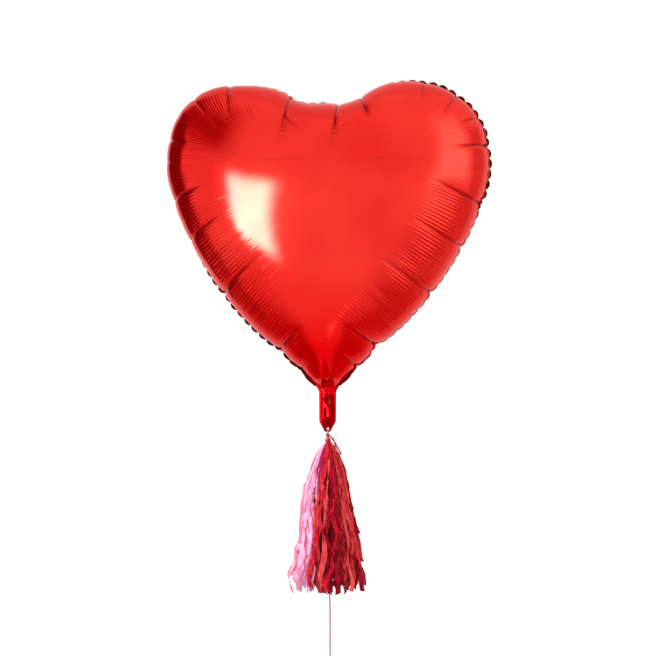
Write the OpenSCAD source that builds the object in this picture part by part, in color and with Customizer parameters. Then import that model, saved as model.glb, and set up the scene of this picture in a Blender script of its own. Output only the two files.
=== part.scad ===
// Heart-shaped foil balloon with a tissue tassel and a curling ribbon.
// Frame: origin at the tie on the balloon's tail, +Z up, the front of the heart faces -Y. Millimetres.

/* [Heart] */
// Half the width of the inflated heart at its seam
heart_half_w = 386; // [330:1:430]
// Height of the widest level above the tie
lobe_z = 634; // [600:1:660]
// Radius of each lobe
lobe_r = 200; // [180:1:210]
// Height of the cleft between the lobes
cleft_z = 788; // [770:1:800]
// Half the thickness of the inflated heart
heart_half_t = 178; // [140:1:200]
// Thickness of each foil panel, thicker than real film so that it is a sound solid
foil_t = 0.8; // [0.5:0.1:1.5]
// Width of the welded edge round the seam
flange_w = 7; // [4:0.5:9]

/* [Tail] */
// Half the width of the filling tail at its seam
tail_half_w = 16.5; // [15:0.5:20]
// Width of the welded edge along the tail
tail_flange_w = 5; // [3:0.5:6]
// Height of the ribbon hole above the tie
hole_z = 3.2; // [3:0.1:4]
// Radius of the ribbon hole
hole_r = 2.4; // [2:0.1:2.6]

/* [Valve] */
// Half the width of each valve film
valve_half_w = 12; // [8:0.5:13]
// Height at which the valve films end inside the heart
valve_top_z = 210; // [180:5:260]
// Thickness of each valve film
valve_t = 0.4; // [0.2:0.1:0.5]

/* [Ribbon] */
// Width of the curling ribbon
ribbon_w = 5; // [4:0.5:6]
// Radius of the knot under the tail
knot_r = 6.2; // [5.5:0.1:6.4]
// Radius of the loop that passes through the tail
loop_r = 4.5; // [4.4:0.1:4.8]
// Radius of the folded ribbon in that loop
loop_strand_r = 0.9; // [0.6:0.1:1]
// Width of the hand loop
hand_loop_w = 44; // [36:1:60]

/* [Tassel] */
// Radius of the opening for the ribbon down the tassel's middle
core_r = 3.4; // [3.1:0.1:4]
// Thickness of the outer layer of tissue
fringe_t = 4; // [3:0.5:8]
// Width of the inner layer as a share of the outer one
core_share = 0.6; // [0.5:0.05:0.75]
// Gap between sheets that hang side by side, as an angle
sheet_gap = 1.5; // [1:0.5:4]

/* [Hidden] */

foil_colour = [0.93, 0.13, 0.11];
valve_colour = [0.86, 0.86, 0.88];
ribbon_colour = [0.80, 0.20, 0.28];
pale_pink = [0.96, 0.76, 0.87];
mid_pink = [0.93, 0.53, 0.63];
magenta = [0.84, 0.20, 0.47];
coral = [0.86, 0.36, 0.34];
tissue_red = [0.74, 0.09, 0.12];
dark_red = [0.50, 0.02, 0.05];

// ---- outline of the right half of the seam, as [x, z], from the cleft down to the end of the tail

lobe_x = heart_half_w - lobe_r;
cleft_angle = 34;      // where the round of the lobe gives way to the cleft, from its top
cleft_flat = 26;       // half the flat stretch in the cleft
outer_power = 2.3;     // the outer shoulder is a little squarer than a circle
side_angle = 50;       // slope of the side where it meets the tail, from upright
side_top_pull = 60;
side_tip_pull = 372;
tip = [26, 112];       // where the side ends and the tail begins
tail_top_z = 92;
tail_corner_z = 24;
tail_end = [2.5, -2];
tail_end_flange = [7.5, -2];

function mix(a, b, t) = a + (b - a) * t;
function quad(a, b, c, t) = mix(mix(a, b, t), mix(b, c, t), t);
function cubic(a, b, c, d, t) = mix(quad(a, b, c, t), quad(b, c, d, t), t);
function unit(v) = v / norm(v);

lobe_in = [lobe_x - lobe_r * sin(cleft_angle), lobe_z + lobe_r * cos(cleft_angle)];
cleft_corner = [lobe_in[0] - (lobe_in[1] - cleft_z) / tan(cleft_angle), cleft_z];
side_top = [heart_half_w, lobe_z];
side_pull = [sin(side_angle), cos(side_angle)] * side_tip_pull;

cleft_points = [
    [0, cleft_z], [cleft_flat / 2, cleft_z],
    for (t = [0:0.25:0.99]) quad([cleft_flat, cleft_z], cleft_corner, lobe_in, t)
];
inner_lobe = [for (a = [cleft_angle:-cleft_angle / 5:1])
    [lobe_x - lobe_r * sin(a), lobe_z + lobe_r * cos(a)]];
outer_lobe = [for (a = [90:-11.25:1])
    [lobe_x + lobe_r * pow(cos(a), 2 / outer_power), lobe_z + lobe_r * pow(sin(a), 2 / outer_power)]];
side_points = [for (t = [0:1 / 14:0.999])
    cubic(side_top, side_top - [0, side_top_pull], tip + side_pull, tip, t)];
tail_points = [
    for (t = [0:0.34:1]) quad(tip, [tail_half_w + 2, tail_top_z + 10], [tail_half_w, tail_top_z], t),
    [tail_half_w, 70], [tail_half_w, 47], [tail_half_w, tail_corner_z], [9, 10], tail_end
];
seam = concat(cleft_points, inner_lobe, outer_lobe, side_points, tail_points);
columns = len(seam);
rows = 8;

// outward direction of the seam at each point, square to it
function along(i) = unit(seam[min(i + 1, columns - 1)] - seam[max(i - 1, 0)]);
function outward(i) = i == 0 ? [0, 1] : [-along(i)[1], along(i)[0]];

// the welded edge is flange_w wide, and tail_flange_w on the tail
function flange_at(z) = z > 130 ? flange_w : mix(tail_flange_w, flange_w, max(0, (z - tail_top_z) / 38));
function edge_point(i) = i == columns - 1 ? tail_end_flange
    : i == 0 ? [0, cleft_z + flange_w] : seam[i] + outward(i) * flange_at(seam[i][1]);

// ---- shape of the inflated panel: each rib leaves the seam square to it and curves to the spine, x = 0

cap_z = 640;
lobe_spine_rise = 100;
neck_slope = 0.93;
tail_z = 130;
function soft_min(a, b) = pow(pow(a, -8) + pow(b, -8), -1 / 8);
function lobe_share(p) = max(0, min(1, (180 - atan2(p[1] - lobe_z, p[0] - lobe_x)) / 180));
function side_spine(p) = soft_min(p[1] + neck_slope * p[0], cap_z - 0.12 * (lobe_z - p[1]));
function spine_z(p) =
    p[1] >= lobe_z ? side_spine(side_top) + lobe_spine_rise * pow(1 - lobe_share(p), 1.5)
    : p[1] > tail_z ? side_spine(p)
    : mix(p[1], side_spine(p), max(0, (p[1] - tail_top_z) / (tail_z - tail_top_z)));

// height of the spine: a long slope up from the tail, a shorter one down to the cleft
crest_z = 590;
tail_root_z = 96;
tail_puff = 4;
function tail_height(z) = z < 14 ? 0 : min(tail_puff, (z - 14) * 0.12);
function spine_height(z) =
    z > crest_z ? heart_half_t * pow(1 - pow((z - crest_z) / (cleft_z - crest_z), 2.2), 0.6)
    : max(tail_height(z),
          heart_half_t * (1 - pow((crest_z - z) / (crest_z - tail_root_z), 1.6)));

// one point of a panel: r is 1 at the seam and 0 at the spine, inset moves the seam inwards, lift is the wall
function rib_point(i, r, inset, lift) =
    let (o = seam[i] - outward(i) * inset * (i == 0 ? 1 : min(1, seam[i][0] / 8)),
         a = [0, spine_z(seam[i])],
         k = o - outward(i) * 0.55 * norm(o - a),
         p = quad(o, k, a, 1 - r),
         h = spine_height(a[1]) * sqrt(1 - pow(r, 2.6)))
    [i == 0 || r == 0 ? 0 : p[0], -h - lift, p[1]];

function row_r(j) = 1 - pow(j / rows, 2);
function column_skin(i, inset, lift) = [
    [edge_point(i)[0], -lift, edge_point(i)[1]],
    for (j = [0:rows]) rib_point(i, row_r(j), inset, lift)
];

// a panel is one closed shell: outer skin, inner skin, right half and mirrored left half
module foil_panel() {
    depth = rows + 2;
    right_outer = [for (i = [0:columns - 1]) each column_skin(i, 0, foil_t)];
    right_inner = [for (i = [0:columns - 1]) each column_skin(i, 1.5 * foil_t, 0)];
    right = concat(right_outer, right_inner);
    left = [for (p = right) [-p[0], p[1], p[2]]];
    total = len(right);
    half = len(right_outer);
    // points on the plane x = 0 are shared by both halves
    function at(side, skin, i, j) =
        skin * half + i * depth + j + (side == 1 && i > 0 && j < depth - 1 ? total : 0);
    function quad_faces(a, b, c, d, flip) = flip ? [[a, d, b], [b, d, c]] : [[a, b, d], [b, c, d]];
    skins = [for (side = [0, 1]) for (skin = [0, 1]) for (i = [0:columns - 2]) for (j = [0:depth - 2])
        each quad_faces(at(side, skin, i, j), at(side, skin, i + 1, j),
                        at(side, skin, i + 1, j + 1), at(side, skin, i, j + 1), side != skin)];
    rim = [for (side = [0, 1]) for (i = [0:columns - 2])
        each quad_faces(at(side, 0, i, 0), at(side, 1, i, 0),
                        at(side, 1, i + 1, 0), at(side, 0, i + 1, 0), side == 1)];
    end = [for (side = [0, 1]) for (j = [0:depth - 2])
        each quad_faces(at(side, 0, columns - 1, j), at(side, 1, columns - 1, j),
                        at(side, 1, columns - 1, j + 1), at(side, 0, columns - 1, j + 1), side == 1)];
    difference() {
        polyhedron(points = concat(right, left), faces = concat(skins, rim, end), convexity = 10);
        translate([0, 0, hole_z]) rotate([90, 0, 0]) cylinder(r = hole_r, h = 10, center = true, $fn = 48);
    }
}

module front_foil() {
    color(foil_colour) foil_panel();
}

module rear_foil() {
    color(foil_colour) mirror([0, 1, 0]) foil_panel();
}

// ---- the one-way valve: two soft films lying on each other inside the tail

valve_low_z = 32;
module valve_film() {
    linear_extrude(valve_t)
        polygon([[-valve_half_w, valve_low_z], [valve_half_w, valve_low_z],
                 [valve_half_w, valve_top_z], [-valve_half_w, valve_top_z]]);
}

module front_valve_film() {
    color(valve_colour) rotate([90, 0, 0]) valve_film();
}

module rear_valve_film() {
    color(valve_colour) mirror([0, 1, 0]) rotate([90, 0, 0]) valve_film();
}

// ---- the ribbon: a loop through the tail, the knot, its curled free end, and the length that hangs down

knot_z = -11;
knot_gap = 0.4;
strand_r = ribbon_w / 2;
loop_centre_z = hole_z - loop_r;

module tie_loop() {
    color(ribbon_colour) difference() {
        translate([0, 0, loop_centre_z]) rotate([0, 90, 0])
            rotate_extrude($fn = 64) translate([loop_r, 0]) circle(r = loop_strand_r, $fn = 32);
        translate([0, 0, knot_z]) sphere(r = knot_r + knot_gap, $fn = 64);
    }
}

module ribbon_knot() {
    color(ribbon_colour) translate([0, 0, knot_z]) sphere(r = knot_r, $fn = 64);
}

// a round tube along a list of points, as one closed polyhedron
function tangent(path, i) = unit(path[min(i + 1, len(path) - 1)] - path[max(i - 1, 0)]);
function ring(path, i, r, sides, ref) =
    let (t = tangent(path, i), u = unit(cross(t, ref)), v = cross(t, u))
    [for (s = [0:sides - 1]) path[i] + r * (cos(360 * s / sides) * u + sin(360 * s / sides) * v)];
module tube(path, r, sides, ref) {
    n = len(path);
    points = [for (i = [0:n - 1]) each ring(path, i, r, sides, ref)];
    walls = [for (i = [0:n - 2]) for (s = [0:sides - 1])
        let (a = i * sides + s, b = i * sides + (s + 1) % sides)
        each [[a, b, b + sides], [a, b + sides, a + sides]]];
    start_cap = [[for (s = [sides - 1:-1:0]) s]];
    end_cap = [[for (s = [0:sides - 1]) (n - 1) * sides + s]];
    polyhedron(points = points, faces = concat(walls, start_cap, end_cap), convexity = 8);
}

// the hanging ribbon leaves the knot straight down and drifts a little to the right
ribbon_route = [
    [0, 0, -18], [0, 0, -30], [0, 0, -45], [0, 0, -65], [0, 0, -85], [0, 0, -105], [0, 0, -125],
    [1, 0, -150], [1, 0, -175], [1, 0, -200], [2, 0, -225], [2, 0, -250], [3, 0, -275], [3, 0, -300],
    [3, 0, -325], [4, 0, -350], [4, 0, -375], [4, 0, -400], [5, 0, -425], [5, 0, -450], [5, 0, -475],
    [5, 0, -500], [5, 0, -525], [5, 0, -550], [5, 0, -568]
];
module ribbon() {
    color(ribbon_colour) tube(ribbon_route, strand_r, 8, [0, 1, 0]);
}

// the free end leaves the back of the knot, goes round the tassel's shoulder and curls up in front
curl_route = [
    [6, 7, -14], [8, 10, -17], [11, 13, -22], [14, 16, -28], [18, 19, -36], [23, 20, -45],
    [28, 16, -52], [31, 8, -56], [31, -3, -57], [29, -12, -55], [25, -17, -49], [21, -16, -41],
    [18, -13, -32], [16, -9, -22], [15, -6, -14], [16, -5, -9], [19, -4, -6], [22, -5, -8]
];
module curled_end() {
    color(ribbon_colour) tube(curl_route, strand_r * 0.8, 8, [-0.6, 0.3, -0.74]);
}

end_knot_z = -574;
end_knot_r = 6;
end_x = 5;
module end_knot() {
    color(ribbon_colour) translate([end_x, 0, end_knot_z]) sphere(r = end_knot_r, $fn = 48);
}

// the hand loop: a round bight closed by two straight strands that meet at the knot
hand_loop_r = hand_loop_w / 2;
hand_loop_z = -620;
bight_angle = 214;
module hand_loop() {
    drop = hand_loop_z - end_knot_z;
    a = (360 - bight_angle) / 2;
    foot = [hand_loop_r * sin(a), hand_loop_r * cos(a)];
    reach = [foot[0] - 2.4, -drop - foot[1] - 2];
    color(ribbon_colour) translate([end_x, 0, hand_loop_z]) {
        rotate([90, 0, 0]) rotate([0, 0, 90 + a])
            rotate_extrude(angle = bight_angle, $fn = 72)
                translate([hand_loop_r, 0]) circle(r = strand_r * 0.5, $fn = 24);
        for (side = [-1, 1])
            translate([side * foot[0], 0, foot[1]])
                rotate([0, -side * atan2(reach[0], reach[1]), 0])
                    cylinder(r = strand_r * 0.5, h = norm(reach), $fn = 24);
    }
}

// ---- the tassel: tissue sheets cut into fringes, twisted together at the top and tied round the ribbon

// height and outer radius of the fringe
fringe_profile = [
    [-37, 18], [-50, 25], [-65, 30], [-94, 40], [-137, 51], [-181, 59], [-224, 66],
    [-270, 73], [-310, 81], [-350, 90], [-385, 84]
];
function shell_outline(share, wall) = concat(
    [for (p = fringe_profile) [p[1] * share, p[0]]],
    [for (i = [len(fringe_profile) - 1:-1:0]) [fringe_profile[i][1] * share - wall, fringe_profile[i][0]]]);

// a sheet hangs between two angles round the tassel, counted from the front towards the right
module hanging_sheet(from, to) {
    rotate([0, 0, -90 + from + sheet_gap / 2])
        rotate_extrude(angle = to - from - sheet_gap, $fn = 72) polygon(shell_outline(1, fringe_t));
}

// the twisted tops: a narrow waist under the knot, widening to the fringe, with room for the ribbon
top_profile = [[-18.5, 6.4], [-24, 6.4], [-37, 18]];
module twisted_top(from) {
    outline = concat([for (p = top_profile) [p[1], p[0]]],
                     [for (i = [len(top_profile) - 1:-1:0]) [core_r, top_profile[i][0]]]);
    rotate([0, 0, from + sheet_gap / 2])
        rotate_extrude(angle = 180 - sheet_gap, $fn = 64) polygon(outline);
}

module pink_twisted_top() {
    color(mid_pink) twisted_top(90);
}

module red_twisted_top() {
    color(tissue_red) twisted_top(-90);
}

tassel_tie_z = -21;
module tassel_tie() {
    color(ribbon_colour) translate([0, 0, tassel_tie_z])
        rotate_extrude($fn = 64) translate([7.7, 0]) circle(r = 1.2, $fn = 32);
}

module pale_pink_fringe() {
    color(pale_pink) hanging_sheet(-78, -34);
}

module pink_fringe() {
    color(mid_pink) hanging_sheet(-170, -78);
}

module magenta_fringe() {
    color(magenta) hanging_sheet(-34, -14);
}

module red_front_fringe() {
    color(tissue_red) hanging_sheet(-14, 40);
}

module coral_fringe() {
    color(coral) hanging_sheet(40, 62);
}

module red_right_fringe() {
    color(tissue_red) hanging_sheet(62, 125);
}

module red_rear_fringe() {
    color(tissue_red) hanging_sheet(125, 190);
}

core_t = 2.5;
module dark_red_core_fringe() {
    color(dark_red)
        rotate_extrude($fn = 72) polygon(shell_outline(core_share, core_t));
}

front_foil();
rear_foil();
front_valve_film();
rear_valve_film();
tie_loop();
ribbon_knot();
curled_end();
ribbon();
end_knot();
hand_loop();
tassel_tie();
pink_twisted_top();
red_twisted_top();
pale_pink_fringe();
pink_fringe();
magenta_fringe();
coral_fringe();
red_front_fringe();
red_right_fringe();
red_rear_fringe();
dark_red_core_fringe();
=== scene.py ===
import math

import bpy
import numpy as np
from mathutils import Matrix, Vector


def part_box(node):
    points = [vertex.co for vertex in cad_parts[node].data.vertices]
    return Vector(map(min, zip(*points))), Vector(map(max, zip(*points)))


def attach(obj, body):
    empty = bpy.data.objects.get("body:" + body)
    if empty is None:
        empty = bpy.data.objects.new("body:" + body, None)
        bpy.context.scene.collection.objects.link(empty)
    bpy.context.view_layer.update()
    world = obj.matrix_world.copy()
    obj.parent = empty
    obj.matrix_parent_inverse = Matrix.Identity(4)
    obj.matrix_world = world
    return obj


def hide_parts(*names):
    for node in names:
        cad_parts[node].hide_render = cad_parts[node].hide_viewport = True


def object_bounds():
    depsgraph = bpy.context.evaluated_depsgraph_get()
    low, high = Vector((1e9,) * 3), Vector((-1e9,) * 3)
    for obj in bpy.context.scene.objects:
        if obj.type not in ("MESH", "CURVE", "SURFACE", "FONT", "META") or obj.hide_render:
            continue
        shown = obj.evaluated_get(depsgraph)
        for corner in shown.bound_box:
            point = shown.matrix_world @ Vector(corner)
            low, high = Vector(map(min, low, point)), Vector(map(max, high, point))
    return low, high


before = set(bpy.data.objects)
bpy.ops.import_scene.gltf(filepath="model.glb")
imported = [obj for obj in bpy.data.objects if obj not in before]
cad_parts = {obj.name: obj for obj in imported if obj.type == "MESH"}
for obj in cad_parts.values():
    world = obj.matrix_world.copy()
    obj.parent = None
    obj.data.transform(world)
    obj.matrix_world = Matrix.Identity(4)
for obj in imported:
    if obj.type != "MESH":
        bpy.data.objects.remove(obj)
cadLow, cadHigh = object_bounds()
mm = 0.001


def smooth(low, high, x):
    # smoothstep: 0 below low, 1 above high
    t = np.clip((x - low) / (high - low), 0, 1)
    return t * t * (3 - 2 * t)


def mix(a, b, t):
    return a + (b - a) * t


def unitRows(v):
    return v / np.maximum(np.linalg.norm(v, axis=-1, keepdims=True), 1e-12)


def bezier(points, t):
    # repeated linear mixing of the control points at each t
    rows = [np.asarray(p, float)[None] for p in points]
    t = np.asarray(t, float)[:, None]
    while len(rows) > 1:
        rows = [mix(a, b, t) for a, b in zip(rows[:-1], rows[1:])]
    return rows[0]


def alongPath(path):
    # distance along a path at each of its points
    steps = np.linalg.norm(np.diff(path, axis=0), axis=1)
    return np.concatenate([[0], np.cumsum(steps)])


def evenly(path, count):
    # the same path with count points at equal distances
    s = alongPath(path)
    at = np.linspace(0, s[-1], count)
    return np.stack([np.interp(at, s, path[:, k]) for k in range(path.shape[1])], axis=1)


def roundedPath(points, count, passes=3):
    # corner cutting: each pass replaces a corner by two points at a quarter of its sides
    p = np.asarray(points, float)
    for _ in range(passes):
        cut = np.empty((2 * len(p) - 2, p.shape[1]))
        cut[0::2] = mix(p[:-1], p[1:], 0.25)
        cut[1::2] = mix(p[:-1], p[1:], 0.75)
        p = np.vstack([p[:1], cut, p[-1:]])
    return evenly(p, count)


def gridFaces(index, flip=False):
    # four-sided faces between neighbouring rows and columns of a grid of point numbers
    a, b, c, d = index[:-1, :-1], index[1:, :-1], index[1:, 1:], index[:-1, 1:]
    order = (a, d, c, b) if flip else (a, b, c, d)
    return np.stack([q.ravel() for q in order], axis=1)


def makeMesh(name, points, faces, uv=None, extra=None, shadeSmooth=True, caps=()):
    # faces and the triangles in caps hold point numbers; points that none of them uses are left out
    # uv holds two numbers a point, extra holds named attributes of one number a point
    caps = np.asarray(caps, int).reshape(-1, 3)
    used, compact = np.unique(np.concatenate([faces.ravel(), caps.ravel()]), return_inverse=True)
    quads, triangles = np.split(compact.ravel(), [faces.size])
    points = np.asarray(points, float).reshape(-1, 3)[used]
    mesh = bpy.data.meshes.new(name)
    polygons = quads.reshape(faces.shape).tolist() + triangles.reshape(-1, 3).tolist()
    mesh.from_pydata(points.tolist(), [], polygons)
    if uv is not None:
        layer = mesh.uv_layers.new(name="UVMap")
        corner = np.empty(len(mesh.loops), np.int32)
        mesh.loops.foreach_get("vertex_index", corner)
        layer.data.foreach_set("uv", np.asarray(uv, float).reshape(-1, 2)[used][corner].ravel())
    for key, values in (extra or {}).items():
        attribute = mesh.attributes.new(key, "FLOAT", "POINT")
        attribute.data.foreach_set("value", np.asarray(values, np.float32).ravel()[used])
    mesh.polygons.foreach_set("use_smooth", np.full(len(mesh.polygons), shadeSmooth))
    mesh.update()
    piece = bpy.data.objects.new(name, mesh)
    bpy.context.scene.collection.objects.link(piece)
    return piece


def addSolidify(piece, thickness):
    wall = piece.modifiers.new("Thickness", "SOLIDIFY")
    wall.thickness = thickness
    wall.offset = 0


def finishPiece(piece, body, slotName, material, *nodes):
    piece.data.materials.append(material)
    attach(piece, body)
    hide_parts(*nodes)
    return piece


view = {
    "azimuth": 7.0,          # degrees round from the front towards +X
    "distance": 3.6,
    "height": 0.248,         # of the level line of sight
    "span": 1.581,           # height of the view at the balloon
}


def makeCamera():
    a = math.radians(view["azimuth"])
    lens = bpy.data.cameras.new("Camera")
    lens.sensor_width = 36
    lens.lens = 18 / (view["span"] / 2 / view["distance"])
    camera = bpy.data.objects.new("Camera", lens)
    camera.location = (math.sin(a) * view["distance"], -math.cos(a) * view["distance"], view["height"])
    camera.rotation_euler = (math.pi / 2, 0, a)
    bpy.context.scene.collection.objects.link(camera)
    bpy.context.scene.camera = camera


makeCamera()
print("camera ready")


def newMaterial(name, base, metallic, roughness):
    material = bpy.data.materials.new(name)
    material.use_nodes = True
    shader = material.node_tree.nodes["Principled BSDF"]
    shader.inputs["Base Color"].default_value = (*base, 1)
    shader.inputs["Metallic"].default_value = metallic
    shader.inputs["Roughness"].default_value = roughness
    return material, material.node_tree, shader


def addNode(tree, kind, **settings):
    node = tree.nodes.new(kind)
    for key, value in settings.items():
        if hasattr(node, key):
            setattr(node, key, value)
        else:
            node.inputs[key.replace("_", " ")].default_value = value
    return node


def mathNode(tree, operation, *values):
    # one Math node: the values are numbers or sockets
    node = addNode(tree, "ShaderNodeMath", operation=operation)
    for socket, value in zip(node.inputs, values):
        if isinstance(value, bpy.types.NodeSocket):
            tree.links.new(value, socket)
        else:
            socket.default_value = value
    return node.outputs[0]


def noiseOf(tree, vector, scale, detail=3.0, roughness=0.5, stretch=None):
    if stretch is not None:
        mapping = addNode(tree, "ShaderNodeMapping")
        mapping.inputs["Scale"].default_value = stretch
        tree.links.new(vector, mapping.inputs["Vector"])
        vector = mapping.outputs["Vector"]
    noise = addNode(tree, "ShaderNodeTexNoise", Scale=scale, Detail=detail, Roughness=roughness)
    tree.links.new(vector, noise.inputs["Vector"])
    return noise.outputs["Fac"]


def spreadValue(tree, value, low, high, outLow, outHigh):
    # maps low..high to outLow..outHigh, held at both ends
    node = addNode(tree, "ShaderNodeMapRange", clamp=True)
    tree.links.new(value, node.inputs["Value"])
    for key, number in zip(("From Min", "From Max", "To Min", "To Max"), (low, high, outLow, outHigh)):
        node.inputs[key].default_value = number
    return node.outputs["Result"]


def mixColours(tree, share, a, b, blend="MIX"):
    node = addNode(tree, "ShaderNodeMix", data_type="RGBA", blend_type=blend)
    for socket, value in ((node.inputs["Factor"], share), (node.inputs[6], a), (node.inputs[7], b)):
        if isinstance(value, bpy.types.NodeSocket):
            tree.links.new(value, socket)
        elif isinstance(value, tuple):
            socket.default_value = (*value, 1)
        else:
            socket.default_value = value
    return node.outputs[2]


def addBump(tree, shader, height, strength, distance):
    bump = addNode(tree, "ShaderNodeBump")
    bump.inputs["Strength"].default_value = strength
    bump.inputs["Distance"].default_value = distance
    tree.links.new(height, bump.inputs["Height"])
    tree.links.new(bump.outputs["Normal"], shader.inputs["Normal"])


foilLook = {
    "red": (0.96, 0.044, 0.031),
    "deepRed": (0.86, 0.022, 0.018),
    # painted shade: the deeper red the film is drawn in towards the bottom
    "lowShadeRed": (0.84, 0.002, 0.004),
    # painted shade: the near-black red that the film is darkened towards on the weld, creases, ribs and tail
    "shadeRed": (0.05, 0.001, 0.002),
    "edgeTint": (1.0, 0.8, 0.78),    # a dyed film stays reddish even at a glancing angle
    "roughness": 0.11,
}


def foilMaterial():
    material, tree, shader = newMaterial("Red metallised film", foilLook["red"], 1.0, foilLook["roughness"])
    shader.inputs["Specular Tint"].default_value = (*foilLook["edgeTint"], 1)
    place = addNode(tree, "ShaderNodeTexCoord").outputs["Object"]
    cloud = spreadValue(tree, noiseOf(tree, place, 5.0, 2.0), 0.35, 0.7, 0, 1)
    grain = noiseOf(tree, place, 900.0, 2.0)
    tint = mixColours(tree, cloud, foilLook["red"], foilLook["deepRed"])
    parts = addNode(tree, "ShaderNodeSeparateXYZ")
    tree.links.new(place, parts.inputs["Vector"])
    # painted shade: the film turns a deeper red towards the bottom
    tint = mixColours(tree, spreadValue(tree, parts.outputs["Z"], 0.4, 0.2, 0, 1), tint, foilLook["lowShadeRed"])
    # painted shade and dark reflection: the attribute darkens the film on the weld, in crease and rib bottoms
    # and over the tail
    paintedShade = addNode(tree, "ShaderNodeAttribute", attribute_name="paintedShade").outputs["Fac"]
    tint = mixColours(tree, paintedShade, tint, foilLook["shadeRed"])
    tree.links.new(tint, shader.inputs["Base Color"])
    rough = spreadValue(tree, grain, 0.3, 0.7, foilLook["roughness"] - 0.02, foilLook["roughness"] + 0.03)
    tree.links.new(mathNode(tree, "MULTIPLY_ADD", paintedShade, 0.04, rough), shader.inputs["Roughness"])
    dents = noiseOf(tree, place, 16.0, 2.0)
    height = mathNode(tree, "MULTIPLY_ADD", dents, 0.8, mathNode(tree, "MULTIPLY", grain, 0.003))
    addBump(tree, shader, height, 0.25, 0.0012)
    return material


def ribbonMaterial():
    material, tree, shader = newMaterial("Curling ribbon", (0.4, 0.03, 0.06), 0.0, 0.34)
    shader.inputs["Specular IOR Level"].default_value = 0.4
    uv = addNode(tree, "ShaderNodeTexCoord").outputs["UV"]
    grooves = noiseOf(tree, uv, 60.0, 2.0, stretch=(60, 1, 1))
    cloud = noiseOf(tree, uv, 40.0, 2.0)
    tint = mixColours(tree, spreadValue(tree, cloud, 0.3, 0.7, 0, 1), (0.3, 0.012, 0.03), (0.5, 0.05, 0.09))
    tree.links.new(tint, shader.inputs["Base Color"])
    tree.links.new(spreadValue(tree, grooves, 0.3, 0.7, 0.26, 0.44), shader.inputs["Roughness"])
    addBump(tree, shader, grooves, 0.5, 0.0001)
    return material


def tissueMaterial(name, paintedGlow, dark, middle, light):
    # each strip has its own tone, and the crease noise paints a little shade and a little light along the
    # creases
    material, tree, shader = newMaterial(name, middle, 0.0, 0.72)
    shader.inputs["Specular IOR Level"].default_value = 0.22
    uv = addNode(tree, "ShaderNodeTexCoord").outputs["UV"]
    toneAndShade = addNode(tree, "ShaderNodeAttribute", attribute_name="toneAndShade").outputs["Fac"]
    fibre = noiseOf(tree, uv, 350.0, 4.0, 0.65)
    blotch = noiseOf(tree, uv, 28.0, 3.0)
    creases = noiseOf(tree, uv, 90.0, 4.0, 0.6, stretch=(1, 0.55, 1))
    amount = mathNode(tree, "MULTIPLY_ADD", blotch, 0.5, toneAndShade)
    # painted shade and light along the creases
    amount = mathNode(tree, "MULTIPLY_ADD", creases, 0.7, amount)
    amount = mathNode(tree, "SUBTRACT", amount, 0.6)     # both noises vary round 0.5
    lower = mixColours(tree, spreadValue(tree, amount, 0.0, 0.5, 0, 1), dark, middle)
    tint = mixColours(tree, spreadValue(tree, amount, 0.55, 1.15, 0, 1), lower, light)
    tree.links.new(tint, shader.inputs["Base Color"])
    # painted glow: the paper emits its own colour, standing in for light that comes through it
    tree.links.new(tint, shader.inputs["Emission Color"])
    shader.inputs["Emission Strength"].default_value = paintedGlow     # light that comes through the paper
    tree.links.new(spreadValue(tree, fibre, 0.3, 0.7, 0.62, 0.82), shader.inputs["Roughness"])
    addBump(tree, shader, mathNode(tree, "MULTIPLY_ADD", fibre, 0.15, creases), 0.7, 0.0009)
    return material


def valveMaterial():
    material, tree, shader = newMaterial("Clear valve film", (0.72, 0.72, 0.74), 0.0, 0.3)
    place = addNode(tree, "ShaderNodeTexCoord").outputs["Object"]
    haze = noiseOf(tree, place, 120.0, 3.0)
    tint = mixColours(tree, haze, (0.66, 0.66, 0.69), (0.8, 0.8, 0.81))
    tree.links.new(tint, shader.inputs["Base Color"])
    tree.links.new(spreadValue(tree, haze, 0.3, 0.7, 0.22, 0.4), shader.inputs["Roughness"])
    addBump(tree, shader, haze, 0.3, 0.0003)
    return material


foil = foilMaterial()
ribbonRed = ribbonMaterial()
# name, painted glow for the light that comes through, then the dark, the middle and the light tone of each
# paper
tissueLooks = {
    "pale": ("Pale pink tissue", 0.2,
        (0.76, 0.27, 0.45), (0.86, 0.44, 0.62), (0.92, 0.6, 0.75)),
    "pink": ("Pink tissue", 0.2,
        (0.74, 0.13, 0.24), (0.9, 0.27, 0.4), (0.94, 0.42, 0.55)),
    "magenta": ("Magenta tissue", 0.1,
        (0.34, 0.005, 0.07), (0.52, 0.02, 0.13), (0.7, 0.08, 0.25)),
    "coral": ("Coral tissue", 0.12,
        (0.5, 0.02, 0.03), (0.7, 0.07, 0.07), (0.82, 0.2, 0.16)),
    "red": ("Red tissue", 0.14,
        (0.16, 0.001, 0.006), (0.5, 0.004, 0.02), (0.78, 0.11, 0.1)),
    # painted shade: the near-black paper of the inner core
    "dark": ("Painted shade core tissue", 0.03,
        (0.1, 0.001, 0.003), (0.2, 0.002, 0.006), (0.32, 0.006, 0.012)),
}
tissue = {key: tissueMaterial(*look) for key, look in tissueLooks.items()}
print("materials ready")


ribbonSize = {
    "width": 5 * mm,
    "thickness": 0.35 * mm,
    "sections": 500,         # along the hanging length
    "sides": 12,             # round a section
    "curlWidth": 3.6 * mm,
}


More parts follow.
